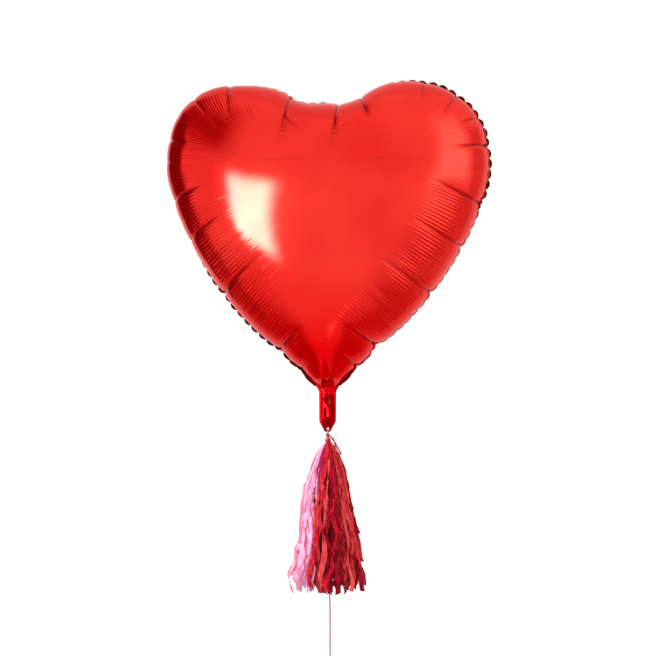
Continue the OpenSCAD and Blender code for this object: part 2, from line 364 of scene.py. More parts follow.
def ribbonAlong(name, path, across, width, thickness, closed=False, cup=0.0):
    # a flat band with rounded edges: each section is a squashed circle, width by thickness, whose wide way is
    # the across direction made square to the path; cup bends the section, as curling leaves it
    path = np.asarray(path, float)
    count = len(path)
    if closed:
        tangent = unitRows(np.roll(path, -1, axis=0) - np.roll(path, 1, axis=0))
    else:
        tangent = unitRows(np.gradient(path, axis=0))
    across = np.broadcast_to(np.asarray(across, float), path.shape)
    wide = unitRows(across - (across * tangent).sum(1, keepdims=True) * tangent)
    thin = np.cross(tangent, wide)
    sides = ribbonSize["sides"]
    angle = 2 * math.pi * np.arange(sides) / sides
    flat = np.sign(np.cos(angle)) * np.abs(np.cos(angle)) ** 0.6 * width / 2
    lift = np.sin(angle) * thickness / 2 + cup * ((2 * flat / width) ** 2 - 0.5)
    points = path[:, None] + wide[:, None] * flat[None, :, None] + thin[:, None] * lift[None, :, None]
    index = np.arange(count * sides).reshape(count, sides)
    ring = np.concatenate([index, index[:, :1]], axis=1)
    length = alongPath(path)
    uv = np.stack(np.broadcast_arrays(flat[None, :], length[:, None]), axis=-1)
    if closed:
        return makeMesh(name, points, gridFaces(np.concatenate([ring, ring[:1]]), flip=True), uv)
    # a point in the middle of each end closes it
    points = np.concatenate([points.reshape(-1, 3), path[[0, -1]]])
    uv = np.concatenate([uv.reshape(-1, 2), [[0, length[0]], [0, length[-1]]]])
    first = np.column_stack([ring[0, :-1], ring[0, 1:], np.full(sides, count * sides)])
    last = np.column_stack([ring[-1, 1:], ring[-1, :-1], np.full(sides, count * sides + 1)])
    return makeMesh(name, points, gridFaces(ring, flip=True), uv, caps=np.vstack([first, last]))


# the same routes as the tubes in the CAD source, in millimetres
ribbonRoute = [
    (0, 0, -18), (0, 0, -30), (0, 0, -45), (0, 0, -65), (0, 0, -85), (0, 0, -105), (0, 0, -125),
    (1, 0, -150), (1, 0, -175), (1, 0, -200), (2, 0, -225), (2, 0, -250), (3, 0, -275), (3, 0, -300),
    (3, 0, -325), (4, 0, -350), (4, 0, -375), (4, 0, -400), (5, 0, -425), (5, 0, -450), (5, 0, -475),
    (5, 0, -500), (5, 0, -525), (5, 0, -550), (5, 0, -568),
]
curlRoute = [
    (6, 7, -14), (8, 10, -17), (11, 13, -22), (14, 16, -28), (18, 19, -36), (23, 20, -45),
    (28, 16, -52), (31, 8, -56), (31, -3, -57), (29, -12, -55), (25, -17, -49), (21, -16, -41),
    (18, -13, -32), (16, -9, -22), (15, -6, -14), (16, -5, -9), (19, -4, -6), (22, -5, -8),
]


def makeRibbon(fittings):
    # it starts inside the knot, and its wide side is turned from the front
    path = roundedPath(np.array([(0, 0, -15)] + ribbonRoute[1:]) * mm, ribbonSize["sections"])
    turn = math.radians(58)
    piece = ribbonAlong("ribbon_band", path, (math.cos(turn), math.sin(turn), 0),
                        ribbonSize["width"], ribbonSize["thickness"], cup=0.3 * mm)
    finishPiece(piece, "ribbon", "ribbon", ribbonRed, "ribbon")


def makeCurl():
    path = roundedPath(np.array([(2, 3, -12)] + curlRoute) * mm, 180)
    share = np.linspace(0, 1, len(path))[:, None]
    across = mix(np.array([0.95, 0.25, 0.1]), np.array([0.1, 1.0, 0.2]), smooth(0.72, 0.95, share))
    width = ribbonSize["curlWidth"]
    piece = ribbonAlong("curled_ribbon_end", path, across, width, ribbonSize["thickness"], cup=0.3 * mm)
    finishPiece(piece, "ribbon", "ribbon", ribbonRed, "curled_end")


def circleAt(centre, radius, tilt, turn, count=64, dent=0.0):
    # a circle tilted about X and then turned about Z, with a gentle dent three times round
    a = np.linspace(0, 2 * math.pi, count, endpoint=False)
    r = radius * (1 + dent * np.cos(3 * a + turn))
    flat = np.stack([r * np.cos(a), r * np.sin(a), np.zeros(count)], axis=1)
    ct, st, cz, sz = math.cos(tilt), math.sin(tilt), math.cos(turn), math.sin(turn)
    tip = np.array([[1, 0, 0], [0, ct, -st], [0, st, ct]])
    spin = np.array([[cz, -sz, 0], [sz, cz, 0], [0, 0, 1]])
    axis = spin @ tip @ np.array([0, 0, 1.0])
    return flat @ (spin @ tip).T + np.asarray(centre), axis


def joinPieces(name, pieces):
    with bpy.context.temp_override(active_object=pieces[0], selected_editable_objects=pieces):
        bpy.ops.object.join()
    pieces[0].name = name
    pieces[0].data.name = name
    return pieces[0]


# tilt and turn in degrees, share of the knot's radius, share of the ribbon's width
knotTurns = [
    (12, 20, 0.62, 0.9),
    (78, 35, 0.74, 0.95),
    (64, 150, 0.8, 0.9),
    (96, 100, 0.86, 0.75),
    (30, 80, 0.92, 0.7),
]


def makeKnot(name, node, body, radius):
    low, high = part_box(node)
    centre = (low + high) / 2
    turns = []
    for i, (tilt, turn, share, wide) in enumerate(knotTurns):
        path, axis = circleAt(centre, radius * share, math.radians(tilt), math.radians(turn), dent=0.06)
        width = ribbonSize["width"] * wide * radius / (6 * mm)
        turns.append(ribbonAlong(f"{name}_{i}", path, axis, width, 0.5 * mm, closed=True, cup=-0.25 * mm))
    piece = joinPieces(name, turns)
    return finishPiece(piece, body, "ribbon", ribbonRed, node)


def makeTieLoop():
    # an open fold that goes through the hole and comes down on both sides
    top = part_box("tie_loop")[1].z
    radius = 4.5 * mm
    centre = np.array([0, 0, top - 0.9 * mm - radius])
    a = np.radians(np.linspace(-62, 242, 90))
    path = centre + radius * np.stack([np.zeros(len(a)), np.cos(a), np.sin(a)], axis=1)
    piece = ribbonAlong("tie_loop_fold", path, (1, 0, 0), 2.3 * mm, 1.0 * mm, cup=0.25 * mm)
    return finishPiece(piece, "loop", "ribbon", ribbonRed, "tie_loop")


def makeHandLoop():
    # both ends start in the knot above the round bight
    low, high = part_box("hand_loop")
    radius = (high.x - low.x) / 2 - 1.25 * mm
    centre = np.array([(low.x + high.x) / 2, 0, low.z + 1.25 * mm + radius])
    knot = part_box("end_knot")
    top = np.array([(knot[0].x + knot[1].x) / 2, 0, (knot[0].z + knot[1].z) / 2 - 1 * mm])
    wide = np.radians(np.linspace(163, 377, 60))
    bight = centre + radius * np.stack([np.cos(wide), np.zeros(len(wide)), np.sin(wide)], axis=1)
    ends = top + np.array([[-1.2, 0, -3], [1.2, 0, -3]]) * mm
    path = roundedPath(np.vstack([ends[:1], bight, ends[1:]]), 240, 2)
    piece = ribbonAlong("hand_loop_band", path, (0, 1, 0), ribbonSize["width"], ribbonSize["thickness"],
                        cup=0.2 * mm)
    return finishPiece(piece, "ribbon", "ribbon", ribbonRed, "hand_loop")


lowerKnot = makeKnot("lower_knot", "end_knot", "ribbon", 5.6 * mm)
makeRibbon([lowerKnot, makeHandLoop()])
makeCurl()
makeKnot("tie_knot", "ribbon_knot", "knot", 6.0 * mm)
makeTieLoop()
print("ribbon ready")


heart = {
    "halfWidth": 386 * mm,
    "lobeHeight": 634 * mm,      # of the widest level
    "lobeRadius": 200 * mm,
    "cleftHeight": 788 * mm,
    "cleftAngle": 34,            # degrees from a lobe's top at which the cleft begins
    "cleftFlat": 26 * mm,
    "shoulderPower": 2.3,        # a circle has 2
    "tip": (26 * mm, 112 * mm),
    "sideAngle": 50,             # degrees from upright, where the side meets the tail
    "sideTopPull": 60 * mm,
    "sideTipPull": 372 * mm,
    "halfThickness": 178 * mm,
    "columnStep": 1.25 * mm,
    "rows": 45,
}
tail = {
    "halfWidth": 16.5 * mm,
    "top": 92 * mm,
    "corner": 24 * mm,
    "end": (2.5 * mm, -2 * mm),
    "puff": 4 * mm,
    "hole": (4.6 * mm, 2.5 * mm, 3.8 * mm),  # height of its middle, half width, half height
}
weldEdge = {
    "width": 6.5 * mm,
    "tailWidth": 4.5 * mm,
    "webWidth": 11 * mm,         # beside the tip
    "scallop": 25 * mm,          # length of one scallop
    "bump": 2 * mm,              # its height
    "gap": 0.05 * mm,            # from each film to the seam's plane
}
# 1 is the right half and -1 the left half in the tables below
# how far the gas pushes the seam out: share of the way from the cleft to the tip, millimetres
push = {
    1: [(0, 0), (0.09, 0), (0.14, 4), (0.2, 4), (0.28, 0), (0.45, 1), (0.53, 4), (0.6, 9), (0.74, 10),
        (0.82, 6), (0.86, 1), (0.886, -7), (0.92, -2), (0.96, -4), (1, 0)],
    -1: [(0, 0), (0.15, 0), (0.18, 1), (0.22, 8), (0.27, 13), (0.32, 14), (0.4, 10), (0.48, 8), (0.6, 12),
         (0.76, 12), (0.84, 8), (0.88, 2), (0.895, -2), (0.93, -1), (0.96, -4), (1, 0)],
}
# share of the way from the cleft to the tip, length inwards and depth in millimetres, lean towards the cleft
creases = {
    1: [(0.026, 150, 4.6, 0.06), (0.07, 95, 4.6, 0.15), (0.15, 40, 1.0, 0.1), (0.21, 60, 3.0, 0.0),
        (0.28, 75, 3.0, -0.1), (0.345, 60, 2.0, 0.0), (0.405, 100, 4.4, 0.0), (0.46, 50, 0.8, 0),
        (0.525, 130, 4.8, 0.05), (0.575, 60, 0.8, 0), (0.62, 135, 4.4, 0.0), (0.675, 60, 0.9, 0),
        (0.732, 140, 4.8, 0.0), (0.79, 60, 1.0, 0), (0.835, 60, 1.2, 0), (0.886, 95, 4.6, -0.1),
        (0.945, 50, 3.0, 0)],
    -1: [(0.071, 150, 5.0, 0.5), (0.14, 40, 0.8, 0), (0.209, 100, 4.6, -0.05), (0.288, 80, 3.4, 0.1),
         (0.335, 50, 0.9, 0), (0.385, 70, 3.6, 0.0), (0.43, 50, 2.0, 0), (0.511, 120, 4.8, -0.05),
         (0.56, 60, 1.0, 0), (0.601, 120, 4.4, 0.0), (0.665, 70, 1.0, 0), (0.732, 150, 4.6, 0.0),
         (0.785, 60, 1.0, 0), (0.84, 50, 1.0, 0), (0.895, 95, 3.8, -0.1), (0.955, 50, 2.6, 0)],
}
ribs = {
    "spacing": 8.6 * mm,
    "height": 1.15 * mm,
    "start": 14 * mm,            # distance in from the seam
    "end": 165 * mm,
    "seed": 11,
}

# strength of the fine ribs at each share of the way from the cleft to the tip
ribStrength = {
    1: [(0, 0.3), (0.1, 0.2), (0.2, 0.15), (0.3, 0.3), (0.4, 0.3), (0.42, 0.12), (0.515, 0.12),
        (0.53, 1.0), (0.73, 1.0), (0.75, 0.75), (0.88, 0.8), (0.91, 0.3), (1, 0.2)],
    -1: [(0, 0.3), (0.07, 0.35), (0.2, 0.25), (0.215, 0.6), (0.28, 0.6), (0.3, 0.12), (0.38, 0.15),
         (0.43, 0.2), (0.51, 0.45), (0.6, 0.7), (0.73, 0.8), (0.9, 0.7), (0.93, 0.3), (1, 0.2)],
}


def heartOutline():
    # the right half of the seam: cleft, round lobe, squarer shoulder, side, then the tail, at even steps
    r, lobeZ = heart["lobeRadius"], heart["lobeHeight"]
    lobeX = heart["halfWidth"] - r
    turn = math.radians(heart["cleftAngle"])
    lobeIn = np.array([lobeX - r * math.sin(turn), lobeZ + r * math.cos(turn)])
    corner = np.array([lobeIn[0] - (lobeIn[1] - heart["cleftHeight"]) / math.tan(turn), heart["cleftHeight"]])
    share = np.linspace(0, 1, 400)
    inner = turn * (1 - share)
    outer = math.pi / 2 * (1 - share)
    power = 2 / heart["shoulderPower"]
    slope = math.radians(heart["sideAngle"])
    tip = np.array(heart["tip"])
    pull = np.array([math.sin(slope), math.cos(slope)]) * heart["sideTipPull"]
    top = np.array([heart["halfWidth"], lobeZ])
    parts = [
        [(0, heart["cleftHeight"])],
        bezier([(heart["cleftFlat"], heart["cleftHeight"]), corner, lobeIn], share),
        np.stack([lobeX - r * np.sin(inner), lobeZ + r * np.cos(inner)], axis=1),
        np.stack([lobeX + r * np.cos(outer) ** power, lobeZ + r * np.sin(outer) ** power], axis=1),
        bezier([top, top - [0, heart["sideTopPull"]], tip + pull, tip], share),
    ]
    side = evenly(np.vstack(parts), 900)
    w, t = tail["halfWidth"], tail["top"]
    parts = [
        bezier([tip, (w + 2 * mm, t + 10 * mm), (w, t)], share[::40]),
        [(w, tail["corner"]), (9 * mm, 10 * mm), tail["end"]],
    ]
    whole = np.vstack([side] + parts)
    length = alongPath(whole)[-1]
    return evenly(whole, int(length / heart["columnStep"])), alongPath(side)[-1]


outline, sideLength = heartOutline()
outlineAt = alongPath(outline)
columns = len(outline)


def swell(points):
    # how far the heart swells, nought at the seam: the field whose second differences add up to the same
    # everywhere, as a stretched skin under pressure has. It is a bowl plus point sources outside.
    rim = outline[outlineAt < sideLength - 6 * mm][::6]
    rim = np.vstack([rim, [[0.012, 0.101], [0, 0.096]]])
    rim = np.vstack([rim, rim[1:-1] * [-1, 1]])
    alongRim = unitRows(np.gradient(outline[outlineAt < sideLength][::9], axis=0))
    out = np.stack([-alongRim[:, 1], alongRim[:, 0]], axis=1)
    source = outline[outlineAt < sideLength][::9] + out * 45 * mm
    source = source[(np.abs(source[:, 0]) > 1 * mm)]
    source = np.vstack([source, source * [-1, 1], [[0, 0.045], [0, 0.835]]])

    def pull(p):
        far = np.hypot(p[:, None, 0] - source[None, :, 0], p[:, None, 1] - source[None, :, 1])
        return np.column_stack([np.log(np.maximum(far, 1e-9)), np.ones(len(p))])

    def bowl(p):
        return (p[:, 0] ** 2 + (p[:, 1] - heart["lobeHeight"]) ** 2) / 4

    strength = np.linalg.lstsq(pull(rim), bowl(rim), rcond=1e-9)[0]
    flat = points.reshape(-1, 2)
    value = np.concatenate([pull(part) @ strength - bowl(part) for part in np.array_split(flat, 40)])
    return value.reshape(points.shape[:-1])


def ribGrid(edge, outward):
    # each rib is a curve from the seam, square to it, to the spine x = 0
    x, z = edge[:, 0], edge[:, 1]
    cap = 640 * mm - 0.12 * (heart["lobeHeight"] - z)
    low = np.maximum(z + 0.93 * x, 1 * mm)
    spine = (low ** -8.0 + np.maximum(cap, 1 * mm) ** -8.0) ** (-1 / 8)
    lobeX = heart["halfWidth"] - heart["lobeRadius"]
    share = np.clip((math.pi - np.arctan2(z - heart["lobeHeight"], x - lobeX)) / math.pi, 0, 1)
    widest = int(np.argmax(x))
    spine = np.where(z >= heart["lobeHeight"], spine[widest] + 100 * mm * (1 - share) ** 1.5, spine)
    spine = mix(z, spine, smooth(tail["top"], 135 * mm, z))
    spine = np.minimum.accumulate(spine)
    root = np.stack([np.zeros(len(x)), spine], axis=1)
    reach = np.linalg.norm(edge - root, axis=1, keepdims=True)
    knee = edge - outward * 0.55 * reach
    inward = np.linspace(0, 1, heart["rows"]) ** 1.7
    t = inward[None, :, None]
    first = mix(edge[:, None], knee[:, None], t)
    second = mix(knee[:, None], root[:, None], t)
    grid = mix(first, second, t)
    grid[:, -1, 0] = 0
    return grid


def sawCreases(side, edge, outward, flat):
    # each crease is a straight sharp valley from the seam inwards that ends after its own length
    depth = np.zeros(flat.shape[:-1])
    valleyShade = np.zeros(flat.shape[:-1])
    for share, length, deep, lean in creases[side]:
        k = int(np.searchsorted(outlineAt, share * sideLength))
        inward = -outward[k] + lean * np.array([-outward[k, 1], outward[k, 0]])
        inward /= np.linalg.norm(inward)
        away = flat - edge[k]
        off = np.abs(away[..., 0] * inward[1] - away[..., 1] * inward[0])
        place = (away @ inward) / (length * mm)
        sharp = 0.45 * np.exp(-off / (3 * mm)) + 0.8 * np.exp(-off / (16 * mm))
        depth -= deep * mm * sharp * (1 - smooth(0.35, 1.0, place))
        # painted shade along the bottom of each crease
        valleyShade += deep / 4 * np.exp(-off / (2 * mm)) * (1 - smooth(0.3, 0.9, place))
    return depth, np.clip(valleyShade, 0, 1)


def fineRibs(side, s, inDistance):
    # ripples square to the seam, each with its own strength and length, fading towards the middle
    rng = np.random.default_rng(ribs["seed"] + side)
    count = int(outlineAt[-1] / ribs["spacing"]) + 4
    strength = rng.uniform(0.35, 1.0, count)
    reach = rng.uniform(0.55, 1.0, count)
    shift = np.cumsum(rng.uniform(-0.5, 0.5, count)) * 0.35
    number = s / ribs["spacing"]
    phase = number + np.interp(number, np.arange(count), shift)
    place = inDistance / (ribs["end"] * np.interp(number, np.arange(count), reach))
    window = smooth(ribs["start"], ribs["start"] + 22 * mm, inDistance) * (1 - smooth(0.45, 1.0, place))
    zone = np.interp(s / sideLength, *np.array(ribStrength[side]).T)
    wave = 2 * np.abs(np.sin(math.pi * phase)) ** 0.8 - 1.2
    size = window * zone * np.interp(number, np.arange(count), strength)
    # the second value is painted shade in the troughs of the ribs
    return ribs["height"] * wave * size, size * smooth(0.2, 1.1, -wave)


def crinkle(points, seed, size):
    # a sum of folded waves in random directions, as crumpled film has: each is a sharp ridge and a round dip
    rng = np.random.default_rng(seed)
    total = np.zeros(points.shape[:-1])
    for _ in range(9):
        direction = rng.normal(size=3) * [1, 1, 0.6]
        direction /= np.linalg.norm(direction)
        wave = size * rng.uniform(0.6, 1.5)
        fold = 1 - 2 * np.abs(np.sin(math.pi * (points @ direction) / wave + rng.uniform(0, 6)))
        total += fold * rng.uniform(0.4, 1)
    return total / 3


def seamEdge(side, outward, onHeart):
    # the seam draws in at each crease and bulges out between them, and more of the weld is flat near the tip
    s = outlineAt
    notch = sawCreases(side, outline, outward, outline)[0] * 1.15
    bump = weldEdge["bump"] * (np.abs(np.sin(math.pi * s / weldEdge["scallop"])) ** 0.6 - 0.7)
    draw = (notch + bump) * onHeart * smooth(4 * mm, 30 * mm, s)
    web = weldEdge["webWidth"] * np.exp(-((s - sideLength + 24 * mm) / (24 * mm)) ** 2)
    draw = draw - web * 0.6 * (s < sideLength + 30 * mm)
    edge = outline + outward * draw[:, None]
    edge[:, 0] = np.maximum(edge[:, 0], 0)
    edge[0, 0] = 0
    edge[-1] = tail["end"]
    return edge, web


def swollenHeight(flat, across):
    # the heart's height from the swelling, blended into the tail, which is nearly flat
    level = np.clip(swell(flat) / crest, 0, 1)
    level[:, 0] = 0
    heartHeight = heart["halfThickness"] * np.sqrt(1 - (1 - level) ** 1.3)
    puff = np.clip((flat[:, -1, 1] - 14 * mm) * 0.12, 0, tail["puff"])[:, None]
    tailHeight = puff * np.sqrt(1 - (1 - across[None]) ** 2.6)
    return mix(tailHeight, np.maximum(heartHeight, tailHeight), smooth(96 * mm, 128 * mm, flat[..., 1]))


def weldRows(side, edge, outward, onHeart, web):
    # the weld outside the seam, wavy and scalloped: its outer edge and the row half way to the seam
    s = outlineAt
    show = np.clip(weldShow(side, s / sideLength), 0, 1)
    width = np.where(s > sideLength, weldEdge["tailWidth"], weldEdge["width"])
    width = width * (0.2 + 0.8 * show) + web * 0.75
    scallop = np.abs(np.sin(math.pi * s / weldEdge["scallop"])) ** 0.6
    beads = onHeart * (1 - smooth(sideLength - 110 * mm, sideLength - 80 * mm, s))
    width = width * mix(1.0, 0.2 + 0.8 * scallop, beads)
    rim = edge + outward * width[:, None]
    rim[0, 0] = 0
    rim[-1] = (7 * mm, -2 * mm)
    wave = np.sin(2 * math.pi * s / (weldEdge["scallop"] * 2.2))
    bend = wave * 0.8 * mm * onHeart * smooth(4 * mm, 30 * mm, s)
    middle = mix(edge, rim, 0.5)
    outer = np.stack([rim[:, 0], bend - weldEdge["gap"], rim[:, 1]], axis=1)
    between = np.stack([middle[:, 0], bend * 0.4 - weldEdge["gap"], middle[:, 1]], axis=1)
    # painted shade: how dark the weld is drawn, more where more of it shows, on the webs beside the tip and
    # on the tail
    tint = np.maximum(mix(0.84, 0.25 + 0.75 * show, onHeart), np.minimum(web / (6 * mm), 0.9))
    return outer, between, tint


def foilHalf(side):
    # half of the front panel, as points[column, row]: two rows of weld, the seam, then the film to the spine
    s = outlineAt
    along = unitRows(np.gradient(outline, axis=0))
    outward = np.stack([-along[:, 1], along[:, 0]], axis=1)
    outward[0] = (0, 1)
    onHeart = 1 - smooth(sideLength - 60 * mm, sideLength - 10 * mm, s)
    across = np.linspace(0, 1, heart["rows"]) ** 1.7
    edge, web = seamEdge(side, outward, onHeart)
    flat = ribGrid(edge, outward)
    inDistance = np.linalg.norm(flat - edge[:, None], axis=-1)
    height = swollenHeight(flat, across)
    spread = np.interp(s / sideLength, *np.array(push[side]).T) * mm * onHeart * smooth(0, 30 * mm, s)
    spread = spread[:, None] * (1 - smooth(0, 110 * mm, inDistance))
    flat = flat + outward[:, None] * spread[..., None]
    flat[..., 0] = np.maximum(flat[..., 0], 0)
    edge = flat[:, 0].copy()
    points = np.stack([flat[..., 0], -height, flat[..., 1]], axis=-1)
    # creases, ribs and dents lie along the normals of the smooth shape
    normal = unitRows(np.cross(np.gradient(points, axis=1), np.gradient(points, axis=0)))
    normal[:, 0] = np.stack([outward[:, 0], np.zeros(columns), outward[:, 1]], axis=1)
    normal[:, -1, 0] = 0
    awayFromSpine = onHeart[:, None] * smooth(0, 20 * mm, flat[..., 0])
    depth, valleyShade = sawCreases(side, edge, outward, flat)
    ripple, shade = fineRibs(side, np.broadcast_to(s[:, None], inDistance.shape), inDistance)
    lift = (depth + ripple) * awayFromSpine * smooth(0, 12 * mm, s)[:, None]
    lift[:, 0] = 0
    onTail = 1 - smooth(78 * mm, 108 * mm, flat[..., 1])
    crumple = onTail * smooth(6 * mm, 32 * mm, flat[..., 1]) * smooth(0, 0.3, across)[None]
    dents = crinkle(points * [side, 1, 1], 5, 17 * mm)
    lift += (0.5 + 0.5 * dents) * crumple * 3.2 * mm
    # the two sides of the tip meet in a fold that runs down into the tail
    fold = smooth(106 * mm, 128 * mm, flat[..., 1]) * (1 - smooth(125 * mm, 200 * mm, flat[..., 1]))
    lift -= 5 * mm * fold * np.exp(-flat[..., 0] / (7 * mm)) * smooth(0, 0.3, across)[None]
    points = points + normal * lift[..., None]
    points[:, 1:, 1] = np.minimum(points[:, 1:, 1], -weldEdge["gap"])
    points[:, -1, 0] = 0
    points[:, 0] = np.stack([edge[:, 0], np.full(columns, -weldEdge["gap"]), edge[:, 1]], axis=1)
    outer, between, tint = weldRows(side, edge, outward, onHeart, web)
    points = np.concatenate([outer[:, None], between[:, None], points], axis=1)
    # painted shade: how dark the film is drawn on the weld, the bottoms of creases and ribs, and the tail
    paintedShade = np.zeros(points.shape[:2])
    paintedShade[:, :2] = tint[:, None]
    paintedShade[:, 2] = tint * 0.5
    dark = np.maximum(valleyShade * 0.8, shade * (0.5 if side == 1 else 0.35)) * awayFromSpine
    # painted shade in the dips of the tail's dents
    dip = smooth(0.1, -0.5, dents) * smooth(0, 0.3, across)[None]
    paintedShade[:, 3:] = np.maximum(dark, onTail * (0.55 + 0.25 * dip))[:, 1:]
    run = np.zeros(points.shape[:2])
    run[:, :2] = [-2 * mm, -1 * mm]
    run[:, 2:] = inDistance
    uv = np.stack([np.broadcast_to(s[:, None], run.shape), run], axis=-1)
    return points, uv, paintedShade


def weldShow(side, share):
    # how much of the weld shows outside the bulging film: most on the right shoulder and low on the left
    if side == 1:
        return smooth(0.12, 0.24, share) * (1 - smooth(0.5, 0.58, share)) + smooth(0.85, 0.95, share) * 0.5
    return smooth(0.62, 0.7, share) + 0.6 * (1 - smooth(0.0, 0.08, share))


def cutHole(points, faces, middle, halfWidth, halfHeight):
    # leaves out the faces over the ribbon's hole and draws the rim of the opening to an oval
    share = np.hypot(points[:, 0] / halfWidth, (points[:, 2] - middle) / halfHeight)
    gone = (share < 0.95)[faces].any(axis=1)
    rim = np.intersect1d(faces[gone], faces[~gone])
    points[rim, 0] /= share[rim]
    points[rim, 2] = middle + (points[rim, 2] - middle) / share[rim]
    return faces[~gone]


crestPoints = np.stack([np.zeros(80), np.linspace(0.35, 0.75, 80)], axis=1)
crest = float(swell(crestPoints).max())


def makePanel(name, node, facing):
    # right and left halves share the spine; the rear panel is the front one turned about the seam's plane
    halves = [foilHalf(1), foilHalf(-1)]
    right, left = halves[0][0], halves[1][0] * [-1, 1, 1]
    count = right.shape[0] * right.shape[1]
    indexRight = np.arange(count).reshape(right.shape[:2])
    indexLeft = indexRight + count
    indexLeft[:, -1] = indexRight[:, -1]
    indexLeft[0, :] = indexRight[0, :]
    left[:, -1] = right[:, -1]
    points = np.concatenate([right.reshape(-1, 3), left.reshape(-1, 3)]) * [1, facing, 1]
    uv = np.concatenate([halves[0][1].reshape(-1, 2), halves[1][1].reshape(-1, 2) + [2, 0]])
    paintedShade = np.concatenate([halves[0][2].ravel(), halves[1][2].ravel()])
    faces = np.concatenate([gridFaces(indexRight, facing == 1), gridFaces(indexLeft, facing == -1)])
    faces = cutHole(points, faces, *tail["hole"])
    piece = makeMesh(name, points, faces, uv, {"paintedShade": paintedShade})
    return finishPiece(piece, "balloon", "red_foil", foil, node)


for panelName, panelNode, facing in (("front_film", "front_foil", 1), ("rear_film", "rear_foil", -1)):
    panel = makePanel(panelName, panelNode, facing)
valveFilm = valveMaterial()
for nodeName in ("front_valve_film", "rear_valve_film"):
    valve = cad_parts[nodeName]
    valve.data.materials.clear()
    valve.data.materials.append(valveFilm)
print("foil ready")


strips = {
    "width": 13.5 * mm,
    "length": 362 * mm,
    "along": 56,
    "across": 4,
    "gap": 5.6,              # degrees between strips of one layer
    "wall": 0.12 * mm,
}
# height and outer radius of the fringe, in millimetres
fringeProfile = np.array([
    (-23, 6.5), (-29, 9.5), (-37, 16), (-50, 25), (-65, 30), (-94, 40), (-137, 51), (-181, 59), (-224, 66),
    (-270, 73), (-310, 81), (-350, 90), (-385, 84),
])
# piece, node, tissue, slot, from and to in degrees from the front towards the right, layers, seed,
# share of the radius near the top and lower down, degrees by which the two sides spread downwards
sheets = [
    ("pale_pink_strips", "pale_pink_fringe", "pale", "pale_pink_tissue", -78, -34, 2, 1, 0.97, 0.97, (0, 9)),
    ("pink_strips", "pink_fringe", "pink", "pink_tissue", -170, -78, 2, 2, 0.98, 1.0, (8, 26)),
    ("magenta_strips", "magenta_fringe", "magenta", "magenta_tissue", -34, -14, 2, 3, 1.0, 0.78, (0, 0)),
    ("red_front_strips", "red_front_fringe", "red", "red_tissue", -14, 40, 2, 4, 0.97, 0.97, (-13, 0)),
    ("coral_strips", "coral_fringe", "coral", "coral_tissue", 40, 62, 2, 5, 0.95, 0.93, (0, 0)),
    ("red_right_strips", "red_right_fringe", "red", "red_tissue", 62, 125, 2, 6, 0.96, 0.96, (0, 0)),
    ("red_rear_strips", "red_rear_fringe", "red", "red_tissue", 125, 190, 2, 7, 0.96, 0.96, (0, 0)),
    # painted shade: a ring of near-black strips inside stands in for the shade seen between the outer strips
    ("painted_shade_core_strips", "dark_red_core_fringe", "dark", "dark_red_tissue", -180, 180, 1, 8, 0.6, 0.6,
     (0, 0)),
]


def softNoise(rng, count, u, waves, strength, folded=False):
    # one random curve for each strip: a sum of sines with random phases, or of zigzags when folded
    total = np.zeros((count, len(u)))
    for frequency in waves:
        phase = rng.uniform(0, 1, (count, 1))
        size = rng.uniform(0.3, 1.0, (count, 1)) / math.sqrt(frequency)
        turn = frequency * u[None] * rng.uniform(0.8, 1.25, (count, 1)) + phase
        wave = 4 * np.abs(turn % 1 - 0.5) - 1 if folded else np.sin(2 * math.pi * turn)
        total += size * wave
    return total * strength


def stripCreases(rng, count, u, v):
    # zigzags that run slantwise across each strip, and a cupped section
    lift = np.zeros((count, len(u), len(v)))
    for frequency, size in ((6.0, 3.4), (11.0, 2.6), (19.0, 1.5)):
        phase = rng.uniform(0, 1, (count, 1, 1))
        slant = rng.uniform(-1.2, 1.2, (count, 1, 1))
        wave = frequency * u[None, :, None] * rng.uniform(0.7, 1.3, (count, 1, 1))
        wave = wave + slant * v[None, None] * 2 + phase
        lift += size * mm * (4 * np.abs(wave % 1 - 0.5) - 1) * rng.uniform(0.2, 1, (count, 1, 1))
    return lift + (4 * v[None, None] ** 2 - 0.4) * softNoise(rng, count, u, (0.8, 2.2), 3 * mm)[..., None]


